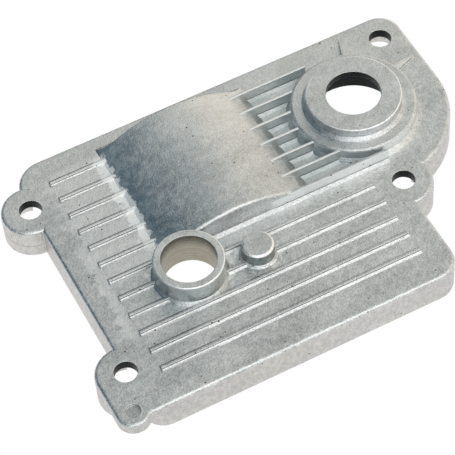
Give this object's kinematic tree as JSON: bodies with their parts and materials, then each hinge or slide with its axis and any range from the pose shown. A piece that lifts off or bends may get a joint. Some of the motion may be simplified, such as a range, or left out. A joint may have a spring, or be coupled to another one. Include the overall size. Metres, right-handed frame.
{
  "type": "die-cast gearbox housing half",
  "caption": "Flat die-cast gearbox housing half with a ribbed deck, an arched gear bulge, a flanged bearing boss, a shaft tube, screw lugs and a hollow underside.",
  "frame": {"origin": "on the mating face, under the middle of the part's bounds", "axes": "+Z out of the gearbox, from the mating face to the bosses; +X along the ribs, from the screw lugs on the left to the bearing boss; +Y across the ribs, from the ear's edge to the far edge"},
  "size_m": [0.1106, 0.0781, 0.0149],
  "materials": {
    "cast_metal": "as-cast, lightly tumbled"
  },
  "bodies": {
    "root": {"housing": "cast_metal"}
  },
  "joints": []
}
